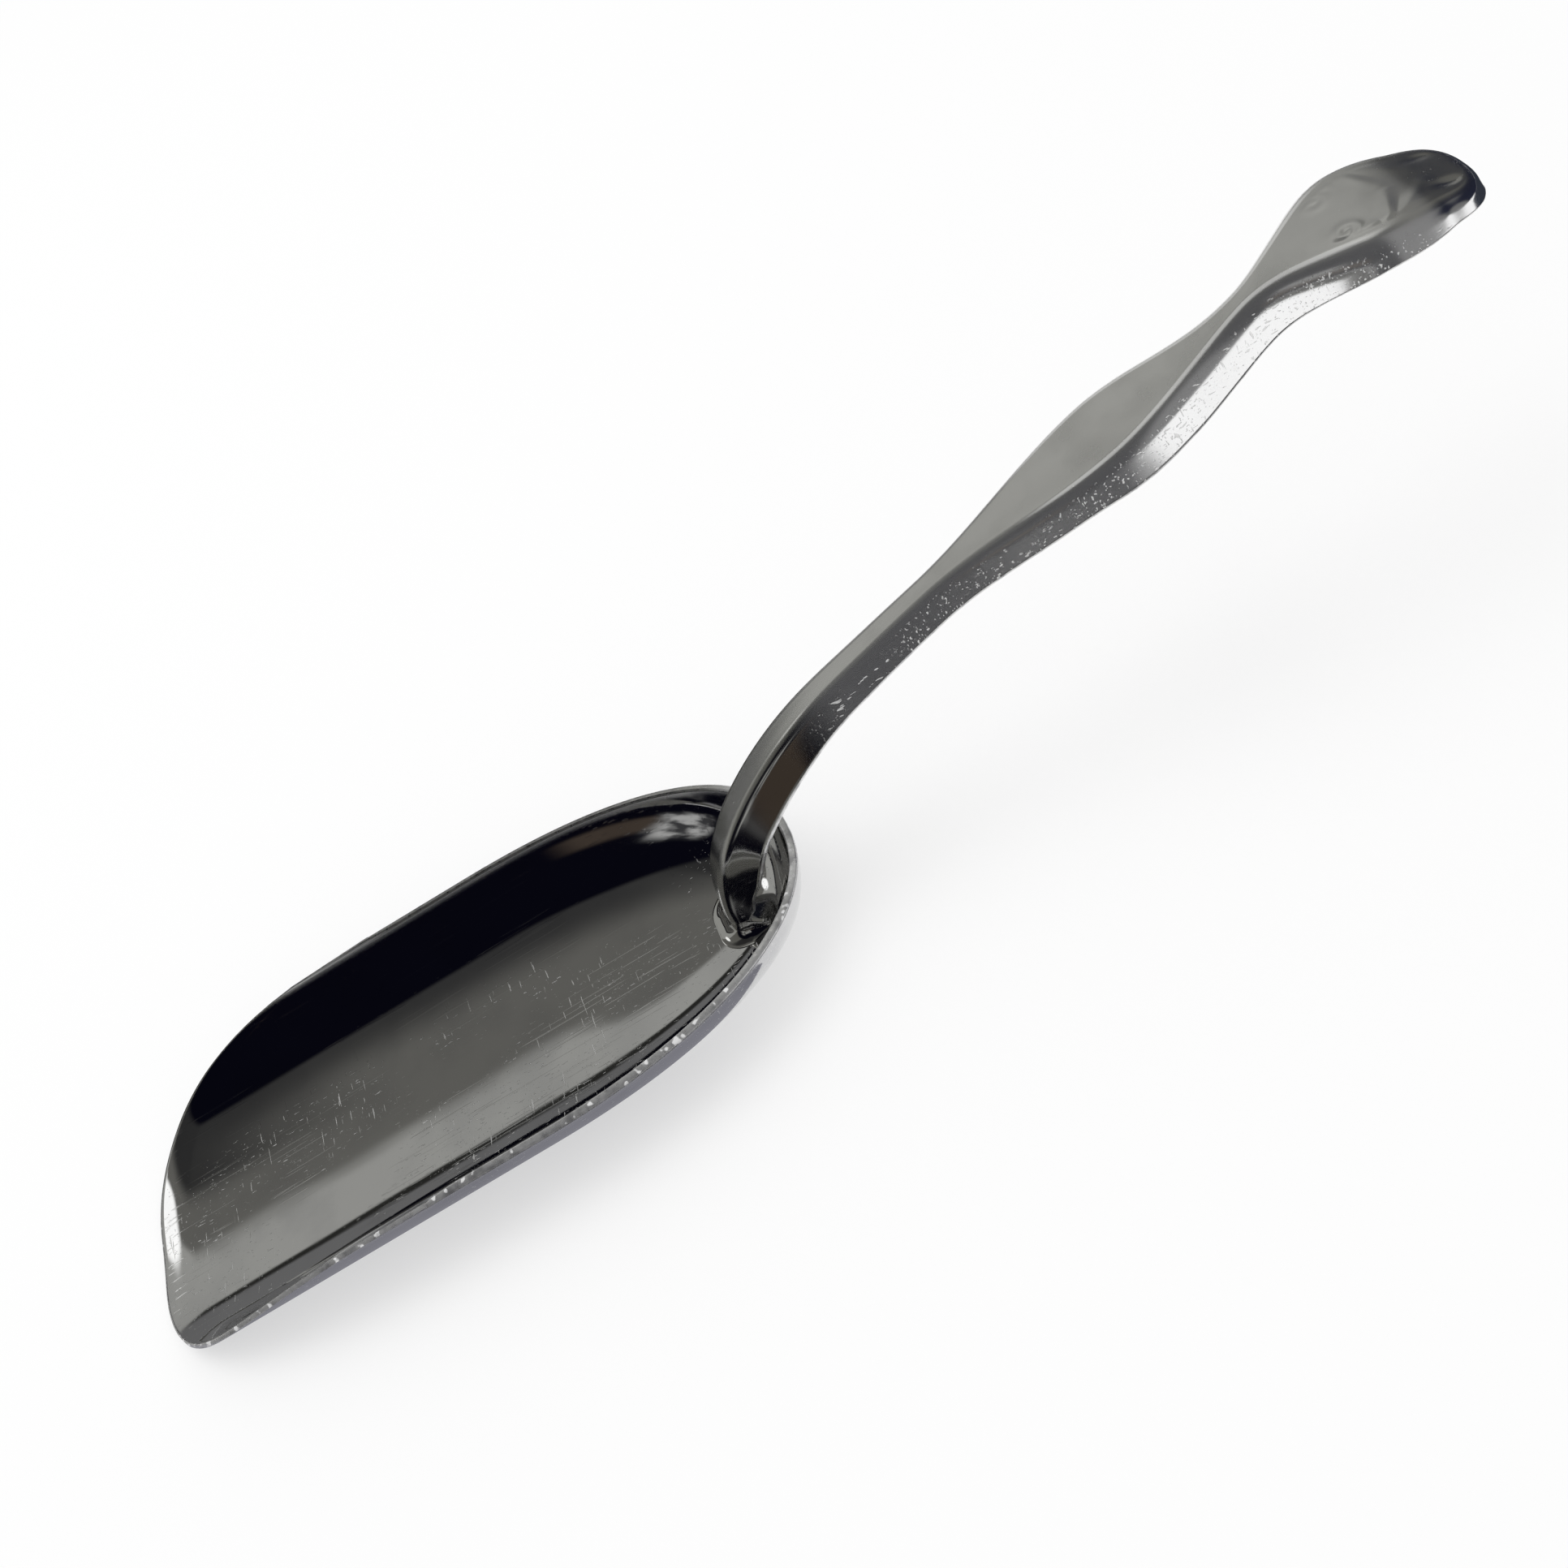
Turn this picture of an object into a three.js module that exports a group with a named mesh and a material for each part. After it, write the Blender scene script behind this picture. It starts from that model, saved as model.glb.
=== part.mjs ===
import * as THREE from 'three';

// Sizes in millimetres. X runs from the mouth to the handle's tip, Y to the far side, Z up.
// The origin is on the underside of the bowl's flat floor.

const sheet = 1.0;
const fitGap = 0.3;

// Bowl
const lipX = -40;
const bowlLength = 92.1;
const bowlHalfWidth = 22.05;
const bowlDepth = 9;
const floorHalfWidth = 3;
const cornerLength = 38.9;
const straightLength = 53;
const backWallRun = 11;
const wallPower = 3;
const wallReach = 0.93;
const cornerPower = 2.55;
const backPower = 2.25;

// Handle: distances along X are taken from the foot's front, heights from the bowl's floor.
const footInset = 0.1;
const standRun = 0.5;
const standRise = 4.2;
const neckRun = 2.3;
const neckRise = 8.8;
const bendRun = 5.6;
const bendRise = 13;
const rimRun = 11;
const rimRise = 17.5;
const shoulderRun = 19;
const shoulderRise = 22;
const shaftRun = 31;
const shaftRise = 25.8;
const narrowRun = 38;
const bulgeRun = 62;
const bulgeRise = 33.7;
const dipRun = 75;
const dipRise = 36.6;
const waistRun = 80.5;
const liftRun = 86;
const liftRise = 40.2;
const lobeRun = 95.5;
const lobeRise = 41.3;
const tipRun = 106.2;
const tipRise = 39;
const footHalfWidth = 2.2;
const narrowHalfWidth = 1.25;
const bulgeHalfWidth = 5.15;
const waistHalfWidth = 1.6;
const lobeHalfWidth = 7.55;
const tipPower = 2.5;

// Handle's turned-down flanks: radius of the crease, lean away from upright, and depth
const edgeReach = 0.65;
const footCrease = 1.5;
const collarRun = 14;
const collarCrease = 1.2;
const narrowCrease = 0.9;
const bulgeCrease = 1.4;
const waistCrease = 1.6;
const lobeCrease = 2.4;
const tipCrease = 1.2;
const footLean = 0.35;
const napeRun = 6;
const napeLean = 0.8;
const collarLean = 0.7;
const throatRun = 24;
const throatLean = 0.5;
const bulgeLean = 0.45;
const fallLean = 0.12;
const waistLean = 0.04;
const lobeLean = 0.5;
const footFlank = 3.8;
const napeFlank = 3;
const narrowFlank = 2.8;
const swellRun = 55;
const swellFlank = 3;
const fallRun = 71;
const waistFlank = 4.6;
const lobeFlank = 2.7;
const tipFlank = 1.7;

// Pressed ornament of the handle's lobe
const reliefHeight = 0.15;
const shellRun = 95;
const shellBow = 3;
const shellHalfWidth = 7.6;
const shellPower = 1.3;
const shellRidge = 0.9;
const scrollRun = 92;
const scrollSide = 3.5;
const scrollRadius = 1.2;
const scrollRidge = 0.7;

// Weld
const weldLeg = 2.9;
const weldHollow = 0.32;
const weldRun = 4.2;

const metal = { color: 0xc4c6c9, roughness: 0.16, metalness: 1.0 };

const bowlEnd = lipX + bowlLength;
const backStart = lipX + straightLength;
const backReach = bowlEnd - backStart;
const floorReach = backReach - backWallRun;
const floorEnd = bowlEnd - backWallRun;
const floorTop = sheet;
const rimTop = sheet / 2 + bowlDepth;

// Joins neighbouring key values by a smooth rise or fall that is level at every key.
function easeThrough(keys, at) {
  if (at <= keys[0][0]) return keys[0][1];
  for (let n = 1; n < keys.length; n += 1) {
    const [x0, v0] = keys[n - 1];
    const [x1, v1] = keys[n];
    if (at <= x1) {
      const t = (at - x0) / (x1 - x0);
      return v0 + (v1 - v0) * t * t * (3 - 2 * t);
    }
  }
  return keys[keys.length - 1][1];
}

function solidFrom(points, faces) {
  const geometry = new THREE.BufferGeometry();
  const numbers = points.flatMap((point) => point.toArray());
  geometry.setAttribute('position', new THREE.Float32BufferAttribute(numbers, 3));
  geometry.setIndex(faces);
  geometry.computeVertexNormals();
  return geometry;
}

// Turns a grid of mid-sheet points and normals into a closed solid of the sheet's thickness.
// Columns run from the open end to the closed end, where both edges meet in one row.
function pressSheet(columns, edgeRows) {
  const last = columns.length - 1;
  const lastRow = columns[0].length - 1;
  const index = new Map();
  const points = [];
  const faces = [];

  function vertex(i, k, upper) {
    const row = i === last ? Math.min(k, lastRow - k, edgeRows) : k;
    const key = `${i},${row},${upper}`;
    if (!index.has(key)) {
      const { point, normal } = columns[i][row];
      index.set(key, points.length);
      points.push(point.clone().addScaledVector(normal, upper ? sheet / 2 : -sheet / 2));
    }
    return index.get(key);
  }

  function addFace(a, b, c) {
    if (a !== b && b !== c && c !== a) faces.push(a, b, c);
  }

  function addEdge(i0, k0, i1, k1) {
    const a = vertex(i0, k0, true);
    const b = vertex(i1, k1, true);
    const c = vertex(i0, k0, false);
    const d = vertex(i1, k1, false);
    addFace(b, a, c);
    addFace(b, c, d);
  }

  for (let i = 0; i < last; i += 1) {
    for (let k = 0; k < lastRow; k += 1) {
      for (const upper of [true, false]) {
        const a = vertex(i, k, upper);
        const b = vertex(i + 1, k, upper);
        const c = vertex(i + 1, k + 1, upper);
        const d = vertex(i, k + 1, upper);
        addFace(a, upper ? b : c, upper ? c : b);
        addFace(a, upper ? c : d, upper ? d : c);
      }
    }
    addEdge(i, 0, i + 1, 0);
    addEdge(i + 1, lastRow, i, lastRow);
  }
  for (let k = 0; k < lastRow; k += 1) {
    addEdge(0, k + 1, 0, k);
  }
  return solidFrom(points, faces);
}

function namedPiece(name, geometry) {
  const piece = new THREE.Mesh(geometry, new THREE.MeshStandardMaterial(metal));
  piece.name = name;
  return piece;
}

// Height of the wall as a share of the bowl's depth, at a share of the way from floor to rim.
// The wall's curve stops short of upright.
function wallRise(out) {
  const climb = (share) => 1 - (1 - share ** wallPower) ** (1 / wallPower);
  return climb(wallReach * Math.min(out, 1)) / climb(wallReach);
}

const wallRows = 10;
const wallSamples = 200;
const floorRows = 2;
const straightColumns = 12;
const backColumns = 18;

// Lengths up the wall at even steps from floor to rim.
function wallLengths() {
  const lengths = [0];
  const share = 1 / wallSamples;
  for (let n = 1; n <= wallSamples; n += 1) {
    const climb = bowlDepth * (wallRise(n * share) - wallRise((n - 1) * share));
    lengths.push(lengths[n - 1] + Math.hypot(share * (bowlHalfWidth - floorHalfWidth), climb));
  }
  return lengths;
}

// Steps up the wall, with how far the mouth's cut lies behind the lip at each of them.
function wallSteps() {
  const lengths = wallLengths();
  const steps = [];
  let n = 0;
  for (let row = 0; row <= wallRows; row += 1) {
    const turn = (row / wallRows) * Math.PI / 2;
    const length = lengths[wallSamples] * Math.sin(turn) ** (2 / cornerPower);
    while (n + 1 < wallSamples && lengths[n + 1] < length) n += 1;
    const out = Math.min(1, (n + (length - lengths[n]) / (lengths[n + 1] - lengths[n])) / wallSamples);
    const shortOf = row === wallRows ? 0 : Math.cos(turn) ** (2 / cornerPower);
    steps.push({ out, setBack: cornerLength * (1 - shortOf) });
  }
  return steps;
}

// One column of the bowl runs from the near rim over the floor to the far rim.
function bowlColumn(n, steps) {
  const along = Math.min(1, n / straightColumns);
  const turn = (Math.max(0, n - straightColumns) / backColumns) * Math.PI / 2;
  const atEnd = n === straightColumns + backColumns;
  const sweepX = Math.sin(turn) ** (2 / backPower);
  const sweepY = atEnd ? 0 : Math.cos(turn) ** (2 / backPower);
  const inner = new THREE.Vector2(floorReach * sweepX, floorHalfWidth * sweepY);
  const away = new THREE.Vector2(backReach * sweepX, bowlHalfWidth * sweepY).sub(inner);
  const run = away.length();
  away.normalize();

  function wallPoint(step, side) {
    const { out, setBack } = steps[step];
    const startX = lipX + setBack;
    const x = startX + (backStart - startX) * along + inner.x + away.x * run * out;
    const y = inner.y + away.y * run * out;
    const low = steps[Math.max(0, step - 1)].out;
    const high = steps[Math.min(wallRows, step + 1)].out;
    const climb = bowlDepth * (wallRise(high) - wallRise(low));
    const tilt = step === 0 ? 0 : Math.atan2(climb, run * (high - low));
    const lean = Math.sin(tilt);
    return {
      point: new THREE.Vector3(x, side * y, sheet / 2 + bowlDepth * wallRise(out)),
      normal: new THREE.Vector3(-away.x * lean, -side * away.y * lean, Math.cos(tilt)),
    };
  }

  const column = [];
  for (let step = wallRows; step > 0; step -= 1) {
    column.push(wallPoint(step, -1));
  }
  const near = wallPoint(0, -1);
  const far = wallPoint(0, 1);
  for (let row = 0; row <= floorRows; row += 1) {
    column.push({ point: near.point.clone().lerp(far.point, row / floorRows), normal: near.normal });
  }
  for (let step = 1; step <= wallRows; step += 1) {
    column.push(wallPoint(step, 1));
  }
  return column;
}

function bowlSolid() {
  const steps = wallSteps();
  const columns = [];
  for (let n = 0; n <= straightColumns + backColumns; n += 1) {
    columns.push(bowlColumn(n, steps));
  }
  return pressSheet(columns, wallRows);
}

// Height of the bowl's mid-sheet over a point of its back half, found by halving.
function bowlHeight(x, y) {
  let low = 0;
  let high = 1;
  for (let n = 0; n < 30; n += 1) {
    const out = (low + high) / 2;
    const shareX = Math.max(0, x - backStart) / (floorReach + backWallRun * out);
    const shareY = Math.abs(y) / (floorHalfWidth + (bowlHalfWidth - floorHalfWidth) * out);
    if (shareX ** backPower + shareY ** backPower > 1) low = out;
    else high = out;
  }
  return sheet / 2 + bowlDepth * wallRise(high);
}

function bowlSlope(x, y) {
  const step = sheet / 20;
  const slopeX = (bowlHeight(x + step, y) - bowlHeight(x - step, y)) / (2 * step);
  const slopeY = (bowlHeight(x, y + step) - bowlHeight(x, y - step)) / (2 * step);
  return Math.hypot(1, slopeX, slopeY);
}

// How far a point stands off the bowl's mid-sheet, square to the sheet or over the rim.
function standOff({ x, y, z }) {
  const overRim = z - rimTop + sheet / 2;
  if (x > bowlEnd) return Math.max(overRim, x - bowlEnd);
  return Math.max(overRim, (z - bowlHeight(x, y)) / bowlSlope(x, y));
}

const footX = floorEnd - footInset;
const narrowX = footX + narrowRun;
const bulgeX = footX + bulgeRun;
const waistX = footX + waistRun;
const lobeX = footX + lobeRun;
const tipX = footX + tipRun;

function linePoint(run, rise) {
  return new THREE.Vector3(footX + run, 0, floorTop + rise);
}

// The middle of the handle's top, from the bowl's floor to the tip.
const handleLine = new THREE.CatmullRomCurve3([
  linePoint(0, fitGap),
  linePoint(standRun, standRise),
  linePoint(neckRun, neckRise),
  linePoint(bendRun, bendRise),
  linePoint(rimRun, rimRise),
  linePoint(shoulderRun, shoulderRise),
  linePoint(shaftRun, shaftRise),
  linePoint(bulgeRun, bulgeRise),
  linePoint(dipRun, dipRise),
  linePoint(liftRun, liftRise),
  linePoint(lobeRun, lobeRise),
  linePoint(tipRun, tipRise),
], false, 'centripetal');
handleLine.arcLengthDivisions = 2000;
const lineLength = handleLine.getLength();

const halfWidthKeys = [
  [footX, footHalfWidth],
  [narrowX, narrowHalfWidth],
  [bulgeX, bulgeHalfWidth],
  [waistX, waistHalfWidth],
  [lobeX, lobeHalfWidth],
];
const creaseKeys = [
  [footX, footCrease],
  [footX + collarRun, collarCrease],
  [narrowX, narrowCrease],
  [bulgeX, bulgeCrease],
  [waistX, waistCrease],
  [lobeX, lobeCrease],
  [tipX, tipCrease],
];
const leanKeys = [
  [footX, footLean],
  [footX + napeRun, napeLean],
  [footX + collarRun, collarLean],
  [footX + throatRun, throatLean],
  [bulgeX, bulgeLean],
  [footX + fallRun, fallLean],
  [waistX, waistLean],
  [lobeX, lobeLean],
];
const flankKeys = [
  [footX, footFlank],
  [footX + napeRun, napeFlank],
  [narrowX, narrowFlank],
  [footX + swellRun, swellFlank],
  [footX + fallRun, waistFlank],
  [waistX, waistFlank],
  [lobeX, lobeFlank],
  [tipX, tipFlank],
];

const flankRows = 6;
const arcRows = 4;
const webRows = 12;
const footColumns = 6;
const shaftColumns = 40;
const tipColumns = 20;

// The ornament: a shell with a bowed front edge, and a ring-shaped scroll at each side before it.
function reliefAt(x, y) {
  const run = x - footX;
  const side = Math.abs(y);
  const bow = shellBow * Math.max(0, 1 - side / shellHalfWidth) ** shellPower;
  const edge = (run - shellRun - bow) / shellRidge;
  const ring = (Math.hypot(run - scrollRun, side - scrollSide) - scrollRadius) / scrollRidge;
  return reliefHeight * Math.max(Math.exp(-(edge ** 2)), Math.exp(-(ring ** 2)));
}

// Share of the handle line's length at which it reaches a given X.
function shareAtX(x) {
  let low = 0;
  let high = 1;
  for (let n = 0; n < 40; n += 1) {
    const middle = (low + high) / 2;
    if (handleLine.getPointAt(middle).x < x) low = middle;
    else high = middle;
  }
  return (low + high) / 2;
}

// Stations of the handle's outline: close together at the foot, then even, then round the tip.
function outlineStations() {
  const stations = [];
  const footShare = standRise / lineLength;
  const lobeShare = shareAtX(lobeX);

  function addShaft(share) {
    stations.push({ share, half: easeThrough(halfWidthKeys, handleLine.getPointAt(share).x) });
  }

  for (let n = 0; n < footColumns; n += 1) {
    addShaft(footShare * (n / footColumns) ** 2);
  }
  for (let n = 0; n < shaftColumns; n += 1) {
    addShaft(footShare + (lobeShare - footShare) * (n / shaftColumns));
  }
  for (let n = 0; n <= tipColumns; n += 1) {
    const turn = (n / tipColumns) * Math.PI / 2;
    const share = lobeShare + (1 - lobeShare) * Math.sin(turn) ** (2 / tipPower);
    const half = n === tipColumns ? 0 : lobeHalfWidth * Math.cos(turn) ** (2 / tipPower);
    stations.push({ share, half });
  }
  return stations;
}

// One column of the handle runs from the near turned-down edge over the top to the far one.
function handleColumn(stations, n) {
  const { share, half } = stations[n];
  const centre = handleLine.getPointAt(share);
  const along = handleLine.getTangentAt(share);
  const up = new THREE.Vector3(-along.z, 0, along.x);
  const before = stations[Math.max(0, n - 1)];
  const after = stations[Math.min(stations.length - 1, n + 1)];
  const outward = new THREE.Vector2(before.half - after.half, (after.share - before.share) * lineLength);
  if (n === 0) outward.set(0, 1);
  if (n === stations.length - 1) outward.set(1, 0);
  outward.normalize();

  const crease = easeThrough(creaseKeys, centre.x);
  const lean = easeThrough(leanKeys, centre.x);
  const edge = centre.clone().addScaledVector(along, outward.x * (edgeReach - crease));
  const webHalf = Math.max(0, half + outward.y * (edgeReach - crease));

  function flankPoint(out, drop, turn, side) {
    const away = along.clone().multiplyScalar(outward.x);
    away.y += side * outward.y;
    const point = edge.clone().addScaledVector(away, out).addScaledVector(up, -drop);
    point.y += side * webHalf;
    const normal = up.clone().multiplyScalar(Math.cos(turn)).addScaledVector(away, Math.sin(turn));
    return { point, normal };
  }

  // The turned-down edge stops a fit gap short of the bowl.
  function flankDepth() {
    const wanted = easeThrough(flankKeys, centre.x);
    const step = sheet / 20;
    let depth = 2 * step;
    while (depth + step < wanted) {
      const { point } = flankPoint(crease + lean * depth, depth + step, 0, 1);
      if (standOff(point) < sheet / 2 + fitGap) break;
      depth += step;
    }
    return depth;
  }

  const depth = flankDepth();
  const radius = Math.min(crease, 0.8 * depth);
  const fullTurn = Math.PI / 2 - Math.atan(lean);
  const arcDrop = radius * (1 - Math.cos(fullTurn));

  function flankRow(row, side) {
    if (row <= arcRows) {
      const turn = (row / arcRows) * fullTurn;
      return flankPoint(radius * Math.sin(turn), radius * (1 - Math.cos(turn)), turn, side);
    }
    const drop = arcDrop + (depth - arcDrop) * ((row - arcRows) / (flankRows - arcRows));
    const out = radius * Math.sin(fullTurn) + (drop - arcDrop) * lean;
    return flankPoint(out, drop, fullTurn, side);
  }

  const column = [];
  for (let row = flankRows; row > 0; row -= 1) {
    column.push(flankRow(row, -1));
  }
  for (let row = 0; row <= webRows; row += 1) {
    const point = edge.clone();
    point.y = webHalf * (2 * row / webRows - 1);
    point.addScaledVector(up, reliefAt(point.x, point.y));
    column.push({ point, normal: up });
  }
  for (let row = 1; row <= flankRows; row += 1) {
    column.push(flankRow(row, 1));
  }
  return column;
}

function handleSolid() {
  const stations = outlineStations();
  return pressSheet(stations.map((station, n) => handleColumn(stations, n)), flankRows);
}

// The weld is a hollow-faced fillet in a U round the foot, a fit gap clear of bowl and handle.
const weldTurnX = footX + footCrease;
const weldTurnY = footHalfWidth + edgeReach - footCrease;
const weldTurnRadius = footCrease + sheet / 2 + fitGap;
const weldSideSteps = 6;
const weldTurnSteps = 6;

// Points along the foot's far side, front and near side, each with its direction away from the foot.
function weldPath() {
  const path = [];
  const lastTurn = Math.PI / 2 - Math.atan(footLean);

  function addPoint(turn, back) {
    const away = new THREE.Vector2(-Math.cos(turn), Math.sin(turn));
    const x = weldTurnX + weldTurnRadius * away.x + back * away.y;
    const y = weldTurnY + weldTurnRadius * away.y - back * away.x;
    path.push({ x, y, away });
  }

  for (let n = 0; n < weldSideSteps; n += 1) {
    addPoint(lastTurn, weldRun * (1 - n / weldSideSteps));
  }
  for (let n = 0; n <= weldTurnSteps; n += 1) {
    addPoint(lastTurn * (1 - n / weldTurnSteps), 0);
  }
  const nearSide = path.map(({ x, y, away }) => ({ x, y: -y, away: new THREE.Vector2(away.x, -away.y) }));
  return [...path, ...nearSide.reverse()];
}

function weldSolid() {
  const shape = [[0, 0], [1, 0], [weldHollow, weldHollow], [0, 1]];
  const count = shape.length;
  const path = weldPath();
  const points = [];
  const faces = [];
  for (const { x, y, away } of path) {
    for (const [out, rise] of shape) {
      const px = x + away.x * out * weldLeg;
      const py = y + away.y * out * weldLeg;
      const clear = (sheet / 2 + fitGap) * bowlSlope(px, py);
      points.push(new THREE.Vector3(px, py, bowlHeight(px, py) + clear + rise * weldLeg));
    }
  }
  for (let n = 0; n + 1 < path.length; n += 1) {
    for (let k = 0; k < count; k += 1) {
      const a = n * count + k;
      const b = n * count + (k + 1) % count;
      faces.push(a, b + count, b, a, a + count, b + count);
    }
  }
  const end = (path.length - 1) * count;
  faces.push(0, 1, 2, 0, 2, 3);
  faces.push(end, end + 2, end + 1, end, end + 3, end + 2);
  return solidFrom(points, faces);
}

const scoop = new THREE.Group();
scoop.add(
  namedPiece('bowl', bowlSolid()),
  namedPiece('handle', handleSolid()),
  namedPiece('weld_fillet', weldSolid()),
);

export default scoop;
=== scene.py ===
import math

import bpy
import numpy as np
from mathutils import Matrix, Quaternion, Vector


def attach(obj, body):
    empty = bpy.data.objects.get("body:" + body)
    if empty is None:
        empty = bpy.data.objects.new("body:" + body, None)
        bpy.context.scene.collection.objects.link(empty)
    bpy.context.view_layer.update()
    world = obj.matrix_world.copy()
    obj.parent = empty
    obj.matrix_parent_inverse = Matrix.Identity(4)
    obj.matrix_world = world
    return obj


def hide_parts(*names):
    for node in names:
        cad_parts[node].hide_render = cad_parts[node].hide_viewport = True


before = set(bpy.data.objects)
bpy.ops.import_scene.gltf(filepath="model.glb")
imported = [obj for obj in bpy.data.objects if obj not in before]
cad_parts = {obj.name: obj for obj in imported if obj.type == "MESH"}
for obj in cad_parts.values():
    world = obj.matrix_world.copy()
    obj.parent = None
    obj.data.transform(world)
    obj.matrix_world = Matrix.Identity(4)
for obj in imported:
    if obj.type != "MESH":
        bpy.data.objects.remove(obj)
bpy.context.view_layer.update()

print("frame loaded with", len(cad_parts), "nodes")

# Sizes of the pieces are in millimetres; a mesh turns to metres when it is made
millimetre = 0.001
sheet = {"thickness": 1.0, "edgeRound": 0.24, "gapShare": 0.7, "roundSteps": 3}
halfSheet = sheet["thickness"] / 2


def smoothStep(t):
    t = np.clip(t, 0.0, 1.0)
    return t * t * (3 - 2 * t)


# Smooth rise or fall between key values, level at every key
def easeThrough(keys, at):
    at = np.asarray(at, float)
    value = np.full(at.shape, float(keys[0][1]))
    for (x0, v0), (x1, v1) in zip(keys, keys[1:]):
        value = np.where(at > x0, v0 + (v1 - v0) * smoothStep((at - x0) / (x1 - x0)), value)
    return value


def unit(vectors):
    length = np.linalg.norm(vectors, axis=-1, keepdims=True)
    return vectors / np.maximum(length, 1e-9)  # never by zero


# Shader nodes

def addNode(tree, kind, inputs=None, **settings):
    node = tree.nodes.new(kind)
    for key, value in settings.items():
        setattr(node, key, value)
    for key, value in (inputs or {}).items():
        if isinstance(value, bpy.types.NodeSocket):
            tree.links.new(value, node.inputs[key])
        else:
            node.inputs[key].default_value = value
    return node


def plug(node, socket, value):
    node.id_data.links.new(value, node.inputs[socket])


def noise(tree, vector, scale=1.0, detail=2.0):
    return addNode(tree, "ShaderNodeTexNoise", {"Vector": vector, "Scale": scale, "Detail": detail}).outputs[0]


def stretched(tree, vector, scale, turn=0.0):
    made = addNode(tree, "ShaderNodeMapping",
                   {"Vector": vector, "Rotation": (0, 0, math.radians(turn)), "Scale": scale})
    return made.outputs[0]


# Smooth change from one level to another while the value goes from low to high
def spread(tree, value, low, high, toLow=0.0, toHigh=1.0):
    made = addNode(tree, "ShaderNodeMapRange",
                   {0: value, 1: low, 2: high, 3: toLow, 4: toHigh}, interpolation_type="SMOOTHSTEP")
    return made.outputs[0]


# The same operation over all the parts, one after the other
def maths(tree, operation, result, *others):
    for other in others:
        result = addNode(tree, "ShaderNodeMath", {0: result, 1: other}, operation=operation).outputs[0]
    return result


def blendColour(tree, share, a, b):
    made = addNode(tree, "ShaderNodeMix", {0: share, 6: a, 7: b}, data_type="RGBA")
    return made.outputs[2]


def bump(tree, height, depth, over=None, strength=1.0, cutIn=False):
    inputs = {"Height": height, "Distance": depth, "Strength": strength}
    if over is not None:
        inputs["Normal"] = over
    return addNode(tree, "ShaderNodeBump", inputs, invert=cutIn).outputs[0]


# Strength that the mesh carries at its points
def mark(tree, name):
    return addNode(tree, "ShaderNodeAttribute", attribute_name=name).outputs["Fac"]


def newFinish(name):
    material = bpy.data.materials.new(name)
    material.use_nodes = True
    tree = material.node_tree
    surface = tree.nodes["Principled BSDF"]
    surface.inputs["Metallic"].default_value = 1.0
    where = addNode(tree, "ShaderNodeTexCoord").outputs["Object"]
    return material, tree, surface, where


def towardsFar(tree, where):
    return addNode(tree, "ShaderNodeSeparateXYZ", {0: where}).outputs[1]


# Soft blotches; they fade in between two levels of the noise
def blotches(tree, where, size, detail, low, high, toLow=0.0, toHigh=1.0):
    return spread(tree, noise(tree, where, size, detail), low, high, toLow, toHigh)


markFade, patchFade = 0.05, 0.12  # how softly a mark and its patch end


# Marks of one direction, kept to patches: size is how many repeat in a metre along each axis, turn is in
# degrees, and a higher cut leaves fewer
def scratches(tree, where, size, turn, cut, patchSize, patchCut):
    lines = noise(tree, stretched(tree, where, size, turn), detail=1.0)
    patch = noise(tree, where, patchSize, 1.0)
    return maths(tree, "MULTIPLY", spread(tree, lines, cut, cut + markFade),
                 spread(tree, patch, patchCut, patchCut + patchFade))


bowlPolish = {
    "colour": (0.74, 0.74, 0.745, 1), "smudge": (0.66, 0.66, 0.67, 1), "bright": (0.92, 0.92, 0.92, 1),
    "smudges": {"size": 110, "detail": 4, "low": 0.40, "high": 0.70},
    "hair": {"size": (70, 2600, 2600), "turn": 4, "cut": 0.64, "patchSize": 60, "patchCut": 0.42},
    "cross": {"size": (3800, 190, 900), "turn": -8, "cut": 0.71, "patchSize": 70, "patchCut": 0.48},
    "slant": {"size": (3800, 300, 900), "turn": 38, "cut": 0.71, "patchSize": 80, "patchCut": 0.50},
    "fleck": {"size": (900, 4600, 4600), "turn": 14, "cut": 0.70, "patchSize": 75, "patchCut": 0.41},
    "dots": {"size": (3600, 3600, 3600), "turn": 0, "cut": 0.72, "patchSize": 60, "patchCut": 0.46},
    "hairShare": 0.25, "dotShare": 0.7, "farFade": (0.009, 0.013), "farShare": 0.12,
    "roughness": 0.045, "smudgeRoughness": 0.075, "scratchRoughness": 0.35, "rimRoughness": 0.3,
    "nickFrom": 0.3, "nickMetal": 0.8, "rimMetal": 0.8,
    "waveSize": 90, "waveHeight": 0.000003, "scratchDepth": 0.00001,
}


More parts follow.
